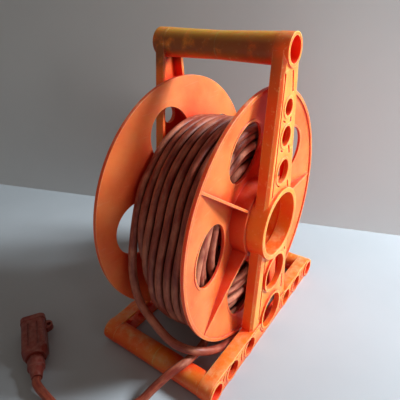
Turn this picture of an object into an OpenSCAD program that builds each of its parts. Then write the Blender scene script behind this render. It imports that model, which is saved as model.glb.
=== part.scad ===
// Hand-wound extension cord reel: a two-flange spool that turns freely on hollow journals
// between two channel-section side frames, which a carrying handle and two cross tubes join.
// Millimetres. X runs along the axle, Y along the rails, Z up; the origin is on the floor
// under the middle of the axle.

/* [Side frames] */
// Clear width between the inner edges of the two side frames
frame_gap = 120; // [116:1:150]
// Thickness of a side frame, from its inner edge to the rail's outer face
frame_depth = 15; // [12:0.5:22]
// How far the upright's face lies behind the rail's face
face_step = 2; // [1:0.5:3]
// Thickness of the web that closes the channel on its outer side
web_t = 4; // [3:0.5:5]
// Thickness of the channel's edge walls
edge_t = 3.2; // [2:0.2:4]
// Width of the upright at the floor
post_foot_w = 93.8; // [84:0.2:110]
// Width of the upright at the handle's axis
post_top_w = 29; // [28:0.5:36]
// Height of the rail
rail_h = 26; // [26:0.5:32]
// Length of the rail over its round ends
rail_l = 268; // [250:1:320]
// Width of the bevel on the upright's outer edges
bevel = 3; // [1:0.5:3]
// Height by which the rim around a hole stands out
rim_h = 0.7; // [0.3:0.1:1.2]
// Width of the rim around a hole
rim_w = 2.6; // [2:0.1:3.4]

/* [Handle and cross tubes] */
// Height of the handle's axis above the flange
handle_rise = 33; // [28:1:60]
// Radius of the handle at its middle
handle_r = 13; // [12.5:0.1:14]
// Radius of the handle at the side frame
handle_root_r = 14.2; // [13.5:0.1:15]
// Radius of the handle's bore
handle_bore_r = 11.4; // [9:0.1:11.6]
// Radius of the cross tubes
cross_r = 12.6; // [11:0.1:12.8]
// Radius of the cross tubes' bores
cross_bore_r = 9.6; // [8:0.1:10]
// Radius of the screws' shanks
screw_r = 1.9; // [1.5:0.1:2.4]
// Radius of the screws' heads
head_r = 3.6; // [3:0.1:4.2]

/* [Holes in the side frames] */
// Distances of the upper round holes below the handle's axis
hole_drops = [49, 76.5, 113]; // [40:0.5:120]
// Radii of the upper round holes
hole_radii = [7.8, 9.8, 12.5]; // [5:0.1:13]
// Radius of the two large holes under the bearing
window_r = 22; // [16:0.5:23]
// Distance of the window below the axle
window_drop = 64.5; // [62:0.5:72]
// Height of the lower large hole above the floor
low_hole_z = 28; // [27.5:0.5:34]
// Places of the round holes along the rail
rail_hole_y = [-88.5, -51, 47, 80]; // [-95:0.5:95]
// Radius of the round holes along the rail
rail_hole_r = 10.5; // [6:0.5:11]

/* [Bearing] */
// Outer radius of the journal that the spool turns on
journal_r = 40.2; // [36:0.1:46]
// Radius of the journal's bore
journal_bore_r = 36.5; // [32:0.1:37]
// Radius of the eye in the side frame
eye_r = 35; // [30:0.5:36]
// Reach of the journal past the frame's inner edge
journal_reach = 14; // [8:0.5:18]
// Running clearance between journal and hub, on the radius
bearing_gap = 0.3; // [0.2:0.05:0.6]
// Side play between the hub's end and the frame
side_play = 3; // [1:0.5:5]

/* [Spool] */
// Radius of the flanges
flange_r = 140; // [132:1:150]
// Height of the flanges above the floor
floor_gap = 11; // [6:1:30]
// Distance between the flanges' inner faces at the finger holes
mouth_w = 86.2; // [80:0.2:90]
// Outward slope of the dished flanges, in millimetres per millimetre
dish_slope = 0.148; // [0.05:0.001:0.16]
// Thickness of the flanges
flange_t = 2.6; // [2:0.2:3.6]
// Width of the bead around the flange's rim
bead_w = 3.4; // [2:0.2:5]
// Height of the bead above the flange's outer face
bead_h = 1.2; // [1:0.1:4]
// Thickness of the hub tube's wall
hub_t = 3.5; // [2.5:0.1:5]
// Outer radius of the drum
drum_r = 46; // [45:0.5:52]
// Thickness of the drum's wall
drum_t = 4; // [3.6:0.1:5]
// Number of finger holes in a flange
finger_count = 5; // [3:1:6]
// Radius of a finger hole
finger_r = 31; // [22:0.5:33]
// Radius of the circle that the finger holes lie on
finger_pitch_r = 87.4; // [84:0.2:94]
// Thickness of a flange's ribs
rib_t = 2.6; // [1.6:0.2:4]

/* [Cord] */
// Diameter of the cord
cord_d = 9; // [6:0.1:9.2]
// Turns in the winding's outer layer
winding_turns = 6.75; // [3.75:1:6.75]
// Radius of the cord's middle line where the winding is thickest
crown_r = 98.5; // [94:0.5:104]
// Drop of the winding towards the flanges, 40 mm from its thickest place
crown_drop = 4; // [2:0.5:6]
// How far the loose outer turns hang down under the pile
hang = 37; // [20:0.5:37]
// Radius of the last turn, which lies in a lane of its own beside the left flange
lane_r = 94; // [92:0.5:96]

/* [Connector] */
// Length of the connector's body
plug_l = 52; // [46:1:70]
// Width of the connector's body
plug_w = 27.4; // [26:0.2:32]
// Height of the connector's body
plug_h = 23; // [22.6:0.2:23.6]
// Length of the connector's face piece
face_l = 7; // [5:0.5:10]
// Width of the connector's face piece
face_w = 28.6; // [27:0.2:34]
// Length of the tapered strain relief
relief_l = 12; // [10:1:14]
// Distance between the blade slots
slot_pitch = 12.7; // [11.5:0.1:13]

/* [Hidden] */
$fn = 96;
eps = 0.01;       // overlap that makes a cut or a join clean
cut = 60;         // more than the thickness of anything that is cut

// Levels across the frame, from its inner edge outwards
x_in = frame_gap / 2;
x_rail = x_in + frame_depth;
x_post = x_rail - face_step;
axle_z = flange_r + floor_gap;
handle_z = axle_z + flange_r + handle_rise;
cross_z = rail_h / 2;
cross_y = rail_l / 2 - rail_h / 2;
hole_z = [for (drop = hole_drops) handle_z - drop];
window_z = axle_z - window_drop;
post_lean = atan((post_foot_w - post_top_w) / 2 / handle_z);
eye_rim_x = x_rail + 1.3;       // face of the rim around the bearing's eye
tube_end_x = x_rail + 1.5;      // ends of the cross tubes
handle_end_x = x_rail - 0.5;    // ends of the handle
handle_eye_r = handle_root_r + 0.3;

// Half joint of the handle and of the cross tubes: a spigot on the left, a partition on the right
spigot_gap = 0.2;       // clearance around a spigot
spigot_l = 14;          // reach of a spigot into the right half
spigot_t = 2.2;         // wall of a spigot
stopper_x = 6;          // place of the partition that carries a spigot
plate_t = 4;            // thickness of the spigot's partition and end
seat_gap = 0.3;         // gap between a spigot's end and the right half's partition
seat_t = 3.2;           // thickness of the right half's partition
screw_hole_gap = 0.4;   // clearance around a screw's shank
pilot_gap = 0.05;       // clearance around a screw's thread in its pilot hole
head_t = 3;             // height of a screw's head
cross_slot_w = 1;       // width of the cross recess in a screw's head
cross_slot_t = 1.6;     // depth of that recess
seat_x = spigot_l + seat_gap + seat_t;

// Spool
hub_bore_r = journal_r + bearing_gap;
hub_r = hub_bore_r + hub_t;
hub_x = x_in - side_play;
hub_back_x = x_in - journal_reach - side_play - 13;   // inner end of the hub's bore
drum_bore_r = drum_r - drum_t;
finger_turn = 36.9;      // angle of the first finger hole above the level line to the rear
finger_rim = 2.2;        // width of the raised rim around a finger hole
finger_rim_h = 0.8;      // height of that rim
rib_turn = finger_turn + 180 / finger_count;
lip_l = 4;               // length of the lip that centres the drum's halves
lip_gap = 0.15;          // clearance around the lip
drum_boss_r = 4.5;
drum_boss_l = 20;
drum_boss_pitch = drum_bore_r - drum_boss_r + 0.5;
drum_screw_l = 34;       // length of a drum screw's shank
drum_screw_count = 4;

// Cord
cord_r = cord_d / 2;
wind_sides = 6;
wind_rings = 24;         // rings in one turn
wind_first_x = 38.4;     // first turn, beside the right flange
wind_last_x = -27.4;     // last turn, beside the lane
settled_turns = 0.35;    // end of the last turn that lies evenly beside the lane
wind_start = 0;          // angle at which the first turn begins
ripple = 0.6;            // unevenness of the turns
crown_x = 8;             // place where the winding is thickest
lane_hang = 8.5;         // how far the turn beside the lane hangs
hang_slope = 1.65;       // how much more each turn hangs for each millimetre further from it
hang_span = [0.3, -0.8];         // sines of the angles between which a turn drops to its full hang
lane_hang_span = [0.8, -0.2];    // the same for the turn beside the lane
bend_r = 9;              // bend of the cord where it leaves or enters the pile
core_gap = 0.8;          // gap between the core and the turns that lie on it
core_side_gap = 0.4;     // gap between the core and the flanges
pocket_r = cord_r + 3;   // pocket in the core where an end of the winding dives in
pocket_shift = 1.7;      // offset of a pocket towards its bend
lane_side_gap = 2.4;     // shift of the winding's last end, away from the lane
lane_x = -37.6;
lane_sunk_x = -36;       // the lead's inner end, sunk deeper between the pile and the flange
lane_sunk_r = 82.5;
lane_start = -60;        // angle at which the lead has come up into the lane
lane_end = 140;          // angle at which it leaves the winding
lane_rise = 60;          // angle over which it comes up
lane_parts = 10;         // stretches of the turn in the lane
lead_sides = 10;
ring_gap = 2.4 * cord_d; // greatest distance between the lead's rings

// Route of the cord from the point where it leaves the winding: down in front of it as a slack
// turn, under the right flange, round in a loop on the floor, over the front cross tube and
// along the floor to the connector
lead_route = [[-37, -88, 194], [-36.9, -104, 152], [-35.5, -113, 112], [-24, -118.5, 80], [-2, -121, 62.5],
    [17.5, -122, 52], [34, -117, 45], [46.5, -105, 38], [52, -89, 28.5], [53, -71, 18], [52, -49, 9],
    [50.5, -27, 5], [48, -7, 4.7], [43, 12, 4.7], [29, 26, 4.7], [10, 31, 4.7], [-9, 26, 4.7],
    [-23, 12, 4.7], [-28.5, -6, 4.7], [-25, -25, 4.7], [-13, -41, 5.2], [4, -53.5, 8.5], [21.5, -66, 16],
    [34, -82, 24], [38.5, -102, 29.5], [37, -121, 31], [30, -138, 26.5], [22, -154, 16.5],
    [16, -168.5, 8], [8, -184, 4.8], [-5, -200, 4.7], [-21, -213.5, 4.7], [-39, -221, 5],
    [-58, -221.5, 7.5]];

// Connector: where its neck lies and which way its face points
neck_at = [-100, -209, 12];
plug_turn = 148.9;
ring_l = 11;             // length of the round collar on the neck
ring_r = 9.2;
waist_l = 4;             // length of the groove behind the collar
waist_r = 7.5;
relief_tip_r = 5.6;
plug_corner_r = 6;
shoulder_l = 11;         // length of the body's sloping shoulder
shoulder_r = 10.5;
groove_w = 2;            // grip grooves along the body
groove_t = 0.9;
groove_y = 5;
face_h = 2 * neck_at[2];
body_x0 = ring_l + waist_l;
body_x1 = body_x0 + plug_l;
lug_r = 6.6;             // eye on the side of the body
lug_hole_r = 2.6;
lug_t = 7;
lug_x = body_x1 - lug_r - 0.4;
lug_y = -(plug_w / 2 + 1.2);
slot_z = -2;             // level of the blade slots against the axis
blade_t = 2.2;
line_h = 6.6;
neutral_h = 8.2;
pin_hole_r = 2.7;
pin_z = 6;               // level of the ground hole against the axis
contact_l = 15;
contact_t = 0.7;
contact_fit = 0.15;      // clearance around a contact in its pocket

// Helpers -----------------------------------------------------------------------------------

function post_half_w(z) = post_foot_w / 2 - z * tan(post_lean);
function dish_x(r) = mouth_w / 2 + dish_slope * (r - finger_pitch_r);
function unit(v) = v / norm(v);
function mix(a, b, t) = a + (b - a) * t;

// Rod or cone along X
module rod(r, x0, x1, y = 0, z = 0, end_r = undef)
    translate([x0, y, z]) rotate([0, 90, 0])
        cylinder(h = x1 - x0, r1 = r, r2 = is_undef(end_r) ? r : end_r);

// Outline in the YZ plane, extruded from x0 to x1
module slab(x0, x1)
    translate([x0, 0, 0]) rotate([90, 0, 90]) linear_extrude(x1 - x0) children();

// Frame of reference on the axle: its Z runs along +X, and turned(a) points its X radially
// towards the angle a, which counts from +Y towards +Z
module on_axle() translate([0, 0, axle_z]) rotate([0, 90, 0]) children();
module turned(angle) rotate([0, 0, angle + 90]) children();

// Side frames -------------------------------------------------------------------------------

module post_outline(inset = 0) {
    foot = post_half_w(inset) - inset;
    top = post_top_w / 2 - inset;
    polygon([[-foot, inset], [foot, inset], [top, handle_z], [-top, handle_z]]);
}

module rail_outline(inset = 0) {
    translate([-cross_y, inset]) square([2 * cross_y, rail_h - 2 * inset]);
    for (side = [-1, 1]) translate([side * cross_y, cross_z]) circle(rail_h / 2 - inset);
}

module post_bevels()
    for (side = [-1, 1])
        translate([x_post, side * post_foot_w / 2, 0])
            rotate([side * post_lean, 0, 0]) rotate([0, 0, 45])
                translate([-bevel / sqrt(2), -bevel / sqrt(2), -cut])
                    cube([bevel * sqrt(2), bevel * sqrt(2), handle_z + 2 * cut]);

// Upright and rail as one channel that is open towards the spool
module channel() {
    difference() {
        union() {
            difference() {
                slab(x_in, x_post) post_outline();
                post_bevels();
            }
            slab(x_in, x_rail) rail_outline();
        }
        slab(x_in - eps, x_post - web_t) post_outline(edge_t);
        slab(x_in - eps, x_rail - web_t) rail_outline(edge_t);
    }
}

// Straight groove from one place of the outer face to another
module groove(from, to, width, depth, face_x) {
    run = to - from;
    translate([face_x - depth, from[0], from[1]])
        rotate([atan2(run[1], run[0]), 0, 0])
            translate([0, 0, -width / 2]) cube([cut, norm(run), width]);
}

// Arc-shaped slot beside a hole of the rail
module rail_arc(y, z, r) {
    slot_w = 2.2;
    slot_half_h = 8;
    depth = 1.5;
    intersection() {
        difference() {
            rod(r + slot_w / 2, x_rail - depth, x_rail + cut, y, z);
            rod(r - slot_w / 2, x_rail - depth - eps, x_rail + cut + eps, y, z);
        }
        translate([x_rail - depth - eps, y - r - slot_w, cross_z - slot_half_h])
            cube([cut, r + slot_w, 2 * slot_half_h]);
    }
}

module face_grooves() {
    front_w = 2.4;
    front_depth = 2.4;
    front_top = handle_z - 18;
    front_foot = rail_h + 6;
    front_edge = [3.8, 15.7];     // distance from the upright's front edge, at the top and foot
    rear_w = 3;
    rear_depth = 2;
    mark_depth = 1.5;
    top_at = [-post_half_w(front_top) + front_edge[0], front_top];
    foot_at = [-post_half_w(front_foot) + front_edge[1], front_foot];
    difference() {
        groove(foot_at, top_at, front_w, front_depth, x_post);
        rod(journal_r + 2, x_in, x_rail + cut + eps, 0, axle_z);
    }
    // Short grooves of the rear edge, each from its foot to its top as [y, height] above its hole
    rear_grooves = [
        [hole_z[0], [6.5, 13], [2.5, 32]],
        [hole_z[0], [8, -15.5], [7.5, -10.5]],
        [hole_z[1], [12.5, -20.5], [9, -11.5]],
        [hole_z[2], [17.5, -24], [15, -15]],
        [window_z, [29, 13], [28, 18]],
        [window_z, [31, -46.5], [29, -22.5]]];
    for (g = rear_grooves)
        groove(g[1] + [0, g[0]], g[2] + [0, g[0]], rear_w, rear_depth, x_post);
    for (z = [hole_z[0] - 12, hole_z[1] - 13, hole_z[2] - 14])
        groove([-9.5, z + 1.3], [-4, z - 1.3], 1.6, mark_depth, x_post);
    groove([-cross_y - 4, rail_h - 2.5], [-30, rail_h - 2.5], 1.6, mark_depth, x_rail);
}

module rail_arcs() {
    arc_gap = [8, 8.5, 7.5, 5.5];     // distance of each arc outside its hole
    for (i = [0 : len(rail_hole_y) - 1])
        rail_arc(rail_hole_y[i], cross_z, rail_hole_r + arc_gap[i]);
    rail_arc(0, low_hole_z, window_r + 6);
    rail_arc(cross_y, cross_z, cross_r + 8.4);
}

// Half of a hollow cross member, from the middle of the reel outwards
module half_tube(mid_r, root_r, bore_r, end_x, y, z, eye_r = undef) {
    difference() {
        union() {
            rod(mid_r, 0, x_in, y, z, root_r);
            rod(is_undef(eye_r) ? root_r : eye_r, x_in - eps, end_x, y, z);
        }
        rod(bore_r, -eps, end_x + eps, y, z);
    }
}

// Joint in the middle of a cross member: the spigot's side
module spigot(bore_r, y, z) {
    difference() {
        union() {
            rod(bore_r - spigot_gap, -spigot_l, stopper_x + plate_t, y, z);
            rod(bore_r + eps, stopper_x, stopper_x + plate_t, y, z);
        }
        rod(bore_r - spigot_gap - spigot_t, plate_t - spigot_l, stopper_x, y, z);
        rod(screw_r + pilot_gap, -spigot_l - eps, 0, y, z);
    }
}

// The same joint: the side that the screw's head pulls on
module screw_seat(bore_r, y, z)
    difference() {
        rod(bore_r + eps, seat_x - seat_t, seat_x, y, z);
        rod(screw_r + screw_hole_gap, 0, seat_x + eps, y, z);
    }

module cross_joint(has_spigot, bore_r, y, z)
    if (has_spigot) spigot(bore_r, y, z);
    else screw_seat(bore_r, y, z);

// The side frame that stands on the +X side
module side_frame(has_spigot) {
    difference() {
        union() {
            channel();
            for (i = [0 : len(hole_z) - 1])
                rod(hole_radii[i] + rim_w, x_post - web_t, x_post + rim_h, 0, hole_z[i]);
            for (z = [window_z, low_hole_z])
                rod(window_r + rim_w, x_post - web_t, x_rail + rim_h, 0, z);
            for (y = rail_hole_y)
                rod(rail_hole_r + rim_w, x_rail - web_t, x_rail + rim_h, y, cross_z);
            rod(journal_r, x_in - journal_reach, eye_rim_x, 0, axle_z);
            for (side = [-1, 1]) rod(cross_r, x_in, tube_end_x, side * cross_y, cross_z);
            rod(handle_eye_r, x_in, handle_end_x, 0, handle_z);
        }
        for (i = [0 : len(hole_z) - 1]) rod(hole_radii[i], 0, cut + x_rail, 0, hole_z[i]);
        for (z = [window_z, low_hole_z]) rod(window_r, 0, cut + x_rail, 0, z);
        for (y = rail_hole_y) rod(rail_hole_r, 0, cut + x_rail, y, cross_z);
        rod(journal_bore_r, 0, x_in, 0, axle_z);
        rod(eye_r, 0, cut + x_rail, 0, axle_z);
        for (side = [-1, 1]) rod(cross_bore_r, 0, cut + x_rail, side * cross_y, cross_z);
        rod(handle_bore_r, 0, cut + x_rail, 0, handle_z);
        face_grooves();
        rail_arcs();
    }
    for (side = [-1, 1]) {
        half_tube(cross_r, cross_r, cross_bore_r, tube_end_x, side * cross_y, cross_z);
        cross_joint(has_spigot, cross_bore_r, side * cross_y, cross_z);
    }
    half_tube(handle_r, handle_root_r, handle_bore_r, handle_end_x, 0, handle_z, handle_eye_r);
    cross_joint(has_spigot, handle_bore_r, 0, handle_z);
}

module right_side_frame() color("darkorange") side_frame(has_spigot = false);
module left_side_frame() color("darkorange") mirror([1, 0, 0]) side_frame(has_spigot = true);

// Screws ------------------------------------------------------------------------------------

// Pan-head screw along X, its head standing on the plane x = seat
module screw(seat, shank_l, y, z)
    difference() {
        union() {
            rod(screw_r, seat - shank_l, seat + eps, y, z);
            rod(head_r, seat, seat + head_t / 2, y, z);
            rod(head_r, seat + head_t / 2, seat + head_t, y, z, head_r * 0.7);
        }
        for (turn = [45, 135])
            translate([seat + head_t, y, z]) rotate([turn, 0, 0])
                cube([2 * cross_slot_t, 2 * head_r * 0.6, cross_slot_w], center = true);
    }

module frame_screws()
    color("silver") {
        shank_l = seat_t + seat_gap + plate_t + 1;
        for (side = [-1, 1]) screw(seat_x, shank_l, side * cross_y, cross_z);
        screw(seat_x, shank_l, 0, handle_z);
    }

module drum_screws()
    color("silver")
        for (i = [0 : drum_screw_count - 1]) {
            angle = 45 + i * 360 / drum_screw_count;
            screw(drum_boss_l, drum_screw_l, drum_boss_pitch * cos(angle),
                axle_z + drum_boss_pitch * sin(angle));
        }

// Spool -------------------------------------------------------------------------------------

// Section of one flange with its half of the drum and its hub tube, as [radius, x]
module flange_section() {
    bead_r = flange_r - bead_w;
    bead_x = dish_x(flange_r) + flange_t + bead_h;
    polygon([[drum_bore_r, 0], [drum_r, 0], [drum_r, dish_x(drum_r)], [flange_r, dish_x(flange_r)],
        [flange_r, bead_x], [bead_r, bead_x], [bead_r, dish_x(bead_r) + flange_t],
        [hub_r, dish_x(hub_r) + flange_t], [hub_r, hub_x], [hub_bore_r, hub_x],
        [hub_bore_r, hub_back_x], [drum_bore_r, hub_back_x - 2]]);
}

module flange_rib() {
    foot_r = hub_r - 1;
    tip_r = flange_r - bead_w / 2;
    sunk = flange_t / 2;
    turned(0) rotate([90, 0, 0])
        linear_extrude(rib_t, center = true)
            polygon([[foot_r, dish_x(foot_r) + sunk], [foot_r, hub_x - 0.5],
                [tip_r, dish_x(tip_r) + flange_t + 0.2], [tip_r, dish_x(tip_r) + sunk]]);
}

// Place on the dish at the middle of a finger hole, square to the dish
module at_finger_hole(i)
    turned(finger_turn + i * 360 / finger_count)
        translate([finger_pitch_r, 0, dish_x(finger_pitch_r)])
            rotate([0, -atan(dish_slope), 0]) children();

module drum_bosses(x0, x1, hole_r)
    for (i = [0 : drum_screw_count - 1])
        rotate([0, 0, 45 + i * 360 / drum_screw_count])
            translate([drum_boss_pitch, 0, x0])
                difference() {
                    cylinder(h = x1 - x0, r = drum_boss_r);
                    translate([0, 0, -eps]) cylinder(h = x1 - x0 + 2 * eps, r = hole_r);
                }

// The flange on the +X side. The left one carries the lip, the right one its seat
module flange(has_lip) {
    lip_r = drum_r - drum_t / 2;
    on_axle() {
        difference() {
            union() {
                rotate_extrude() flange_section();
                for (i = [0 : finger_count - 1]) {
                    rotate([0, 0, rib_turn + i * 360 / finger_count]) flange_rib();
                    at_finger_hole(i)
                        translate([0, 0, flange_t / 2])
                            cylinder(h = flange_t / 2 + finger_rim_h, r = finger_r + finger_rim);
                }
                if (!has_lip) drum_bosses(0, drum_boss_l, screw_r + screw_hole_gap);
            }
            for (i = [0 : finger_count - 1])
                at_finger_hole(i) cylinder(h = cut, r = finger_r, center = true);
            if (!has_lip)
                translate([0, 0, -eps]) difference() {
                    cylinder(h = lip_l + 0.2, r = lip_r);
                    translate([0, 0, -eps])
                        cylinder(h = lip_l + 0.2 + 2 * eps, r = drum_bore_r - lip_gap);
                }
        }
        if (has_lip) {
            drum_bosses(0, drum_boss_l, screw_r + pilot_gap);
            translate([0, 0, -lip_l]) difference() {
                cylinder(h = lip_l + drum_t, r = lip_r - lip_gap);
                translate([0, 0, -eps]) cylinder(h = lip_l + drum_t + 2 * eps, r = drum_bore_r);
            }
        }
    }
}

module right_flange() color("orangered") flange(has_lip = false);
module left_flange() color("orangered") mirror([1, 0, 0]) flange(has_lip = true);

// Cord --------------------------------------------------------------------------------------

// Point of the pile at a radius and an angle, and t further along the turn
function pile_point(x, r, angle, t = 0) =
    [x, r * cos(angle) - t * sin(angle), axle_z + r * sin(angle) + t * cos(angle)];

function crown(x) = crown_r - crown_drop * pow((x - crown_x) / 40, 2);
function core_r(x) =
    (crown(x) - ripple) * cos(180 / wind_rings) - cord_r * cos(180 / wind_sides) - core_gap;

// An end of a turn: straight out of the pile for one diameter, then a bend into the turn.
// side is -1 where the turn begins and 1 where it ends
function dive(x_deep, x, r, angle, side) = concat(
    [pile_point(x_deep, r - bend_r - cord_d, angle, side * bend_r)],
    [for (a = [0 : 30 : 60])
        pile_point(mix(x_deep, x, a / 90), r - bend_r + bend_r * sin(a), angle, side * bend_r * cos(a))]);

function reversed(list) = [for (i = [len(list) - 1 : -1 : 0]) list[i]];

wind_steps = winding_turns * wind_rings;
wind_end = wind_start + winding_turns * 360;
function wind_angle(i) = wind_start + i * 360 / wind_rings;
function wind_x(i) = mix(wind_first_x, wind_last_x, min(1, i / (wind_steps - settled_turns * wind_rings)));

// The outer turns are loose: they lie on the pile at the top and hang off it at the bottom,
// least beside the lane of the last turn
function hang_at(x) = min(hang, lane_hang + hang_slope * (x - wind_last_x));
function soft_step(t) = t * t * (3 - 2 * t);
function droop(x, angle) =
    let (away = sqrt(max(0, hang_at(x) - lane_hang) / (hang - lane_hang)),
         span = mix(lane_hang_span, hang_span, away))
    soft_step(max(0, min(1, (span[0] - sin(angle)) / (span[0] - span[1]))));
function wind_r(i) =
    crown(wind_x(i)) + ripple * sin(2.3 * wind_angle(i))
        + hang_at(wind_x(i)) * droop(wind_x(i), wind_angle(i));

// Level at which an end of the winding stands in the core, and its place there across the pile
function deep_r(i) = wind_r(i) - bend_r - cord_d;
first_deep_x = dish_x(deep_r(0)) - core_side_gap - cord_r;
last_deep_x = wind_last_x + lane_side_gap;

wind_turns = [for (i = [0 : wind_steps]) pile_point(wind_x(i), wind_r(i), wind_angle(i))];
wind_points = concat(
    dive(first_deep_x, wind_first_x, wind_r(0), wind_start, -1),
    wind_turns,
    reversed(dive(last_deep_x, wind_last_x, wind_r(wind_steps), wind_end, 1)));

// Directions along a line of points, and a sideways direction that is carried along it
function directions(p) =
    [for (i = [0 : len(p) - 1]) unit(p[min(i + 1, len(p) - 1)] - p[max(i - 1, 0)])];
function carried(dirs, side, i = 0) =
    i >= len(dirs) ? [] :
    let (next = unit(side - (side * dirs[i]) * dirs[i]))
    concat([next], carried(dirs, next, i + 1));

// Closed tube of flat triangles along a line of points
module tube(p, r, sides) {
    dirs = directions(p);
    across = carried(dirs, [1, 0, 0]);
    last = (len(p) - 1) * sides;
    points = [for (i = [0 : len(p) - 1]) for (k = [0 : sides - 1])
        p[i] + r * (cos(360 * k / sides) * across[i] + sin(360 * k / sides) * cross(dirs[i], across[i]))];
    walls = [for (i = [0 : len(p) - 2]) for (k = [0 : sides - 1])
        let (a = i * sides + k, b = i * sides + (k + 1) % sides)
        each [[a, a + sides, b], [b, a + sides, b + sides]]];
    first_cap = [for (k = [1 : sides - 2]) [0, k, k + 1]];
    last_cap = [for (k = [1 : sides - 2]) [last, last + k + 1, last + k]];
    polyhedron(concat(points), concat(walls, first_cap, last_cap));
}

// Least gap of a cord to itself, from points that lie more than half a turn apart
function least_gap(p, apart) = min([for (i = [0 : len(p) - 1 - apart])
    min([for (j = [i + apart : len(p) - 1]) norm(p[i] - p[j])])]) - cord_d;

// The layers under the outer one, as one plain body, with the lane for the last turn
module cord_core() {
    foot_r = drum_r + seat_gap;
    lane_floor_r = lane_sunk_r - cord_r - 1.5;
    lane_wall_x = lane_sunk_x + cord_r + 0.6;
    right_x = dish_x(core_r(x_in - side_play - 16)) - core_side_gap;
    step = (right_x - lane_wall_x) / 12;
    color("sienna") difference() {
        on_axle() rotate_extrude()
            polygon(concat(
                [[foot_r, core_side_gap - dish_x(foot_r)],
                    [lane_floor_r, core_side_gap - dish_x(lane_floor_r)],
                    [lane_floor_r, lane_wall_x]],
                [for (i = [0 : 12]) [core_r(lane_wall_x + i * step), lane_wall_x + i * step]],
                [[foot_r, dish_x(foot_r) - core_side_gap]]));
        core_pocket(first_deep_x, deep_r(0), wind_start, -1);
        core_pocket(last_deep_x, deep_r(wind_steps), wind_end, 1);
    }
}

// Flat-bottomed pocket, square to the pile, that an end of the winding stands in
module core_pocket(x, floor_r, angle, side)
    on_axle() turned(angle)
        translate([floor_r, side * (bend_r - pocket_shift), x])
            rotate([0, 90, 0]) cylinder(h = cut, r = pocket_r);

module cord_winding() {
    echo(winding_least_gap = least_gap(wind_points, wind_rings / 2));
    color("indianred") tube(wind_points, cord_r, wind_sides);
}

// Directions of the connector, and the end of its strain relief, which the cord meets
plug_dir = [cos(plug_turn), sin(plug_turn), 0];
relief_end = neck_at - relief_l * plug_dir;

lead_points = concat(
    [for (t = [0 : 0.25 : 0.75]) pile_point(mix(lane_sunk_x, lane_x, t),
        mix(lane_sunk_r, lane_r, soft_step(t)), lane_start - lane_rise * (1 - t))],
    [for (i = [0 : lane_parts]) pile_point(lane_x, lane_r, mix(lane_start, lane_end, i / lane_parts))],
    lead_route,
    [relief_end - cord_d * plug_dir, relief_end]);

// Smooth curve through the points, with more rings where they lie far apart
function curve_at(p, i, t) =
    let (a = p[max(i - 1, 0)], b = p[i], c = p[i + 1], d = p[min(i + 2, len(p) - 1)])
    0.5 * (2 * b + (c - a) * t + (2 * a - 5 * b + 4 * c - d) * t * t
        + (3 * b - a - 3 * c + d) * t * t * t);
function smooth(p) = concat(
    [for (i = [0 : len(p) - 2])
        let (parts = ceil(norm(p[i + 1] - p[i]) / ring_gap))
        for (k = [0 : parts - 1]) curve_at(p, i, k / parts)],
    [p[len(p) - 1]]);

// The same line with more points on its straight stretches, to measure gaps on
function denser(p, parts) =
    [for (i = [0 : len(p) - 2]) for (k = [0 : parts - 1]) mix(p[i], p[i + 1], k / parts)];

module cord_lead() {
    line = smooth(lead_points);
    parts = 5;
    echo(lead_rings = len(line), lead_least_gap = least_gap(denser(line, parts), 3 * parts));
    color("indianred") tube(line, cord_r, lead_sides);
}

// Connector ---------------------------------------------------------------------------------

// The connector's own frame: X from the neck to the face, along its axis
module at_neck() translate(neck_at) rotate([0, 0, plug_turn]) children();

module round_box(w, h, r) {
    square([w - 2 * r, h], center = true);
    square([w, h - 2 * r], center = true);
    for (sx = [-1, 1]) for (sy = [-1, 1])
        translate([sx * (w / 2 - r), sy * (h / 2 - r)]) circle(r);
}

module cord_strain_relief()
    color("firebrick") at_neck() {
        rod(relief_tip_r, -relief_l, eps, 0, 0, waist_r);
        rod(ring_r - 1, 0, 1, 0, 0, ring_r);
        rod(ring_r, 1 - eps, ring_l - 1 + eps);
        rod(ring_r, ring_l - 1, ring_l, 0, 0, ring_r - 1);
        rod(waist_r, ring_l - eps, body_x0);
    }

// Solid outline of the body, narrowed to a round shoulder at its back
module plug_block()
    intersection() {
        slab(body_x0, body_x1) round_box(plug_w, plug_h, plug_corner_r);
        union() {
            rod(shoulder_r, body_x0 - 1, body_x0 + shoulder_l, 0, 0, plug_w / 2 + 3);
            rod(plug_w, body_x0 + shoulder_l - eps, body_x1 + 1);
        }
    }

module plug_lug()
    translate([lug_x, lug_y, -lug_t / 2]) cylinder(h = lug_t, r = lug_r);

module connector_body()
    color("firebrick") at_neck()
        difference() {
            union() {
                plug_block();
                plug_lug();
            }
            for (side = [-1, 1])
                translate([body_x0 + shoulder_l, side * groove_y - groove_w / 2, plug_h / 2 - groove_t])
                    cube([plug_l - shoulder_l - 6, groove_w, cut]);
            translate([lug_x, lug_y - 2.4, -cut]) cylinder(h = 2 * cut, r = lug_hole_r);
            contact_pocket(-slot_pitch / 2, slot_z, line_h);
            contact_pocket(slot_pitch / 2, slot_z, neutral_h);
            rod(pin_hole_r + contact_t + contact_fit, body_x1 - contact_l, body_x1 + 1, 0, pin_z);
        }

module contact_pocket(y, z, h) {
    w = blade_t + 2 * contact_t + 2 * contact_fit;
    pocket_h = h + 2 * contact_fit;
    translate([body_x1 - contact_l, y - w / 2, z - pocket_h / 2]) cube([cut, w, pocket_h]);
}

module connector_face()
    color("firebrick") at_neck()
        difference() {
            slab(body_x1, body_x1 + face_l) round_box(face_w, face_h, plug_corner_r);
            for (side = [-1, 1]) {
                h = side < 0 ? line_h : neutral_h;
                translate([body_x1 - 1, side * slot_pitch / 2 - blade_t / 2, slot_z - h / 2])
                    cube([cut, blade_t, h]);
            }
            rod(pin_hole_r, body_x1 - 1, cut + body_x1, 0, pin_z);
        }

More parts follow.
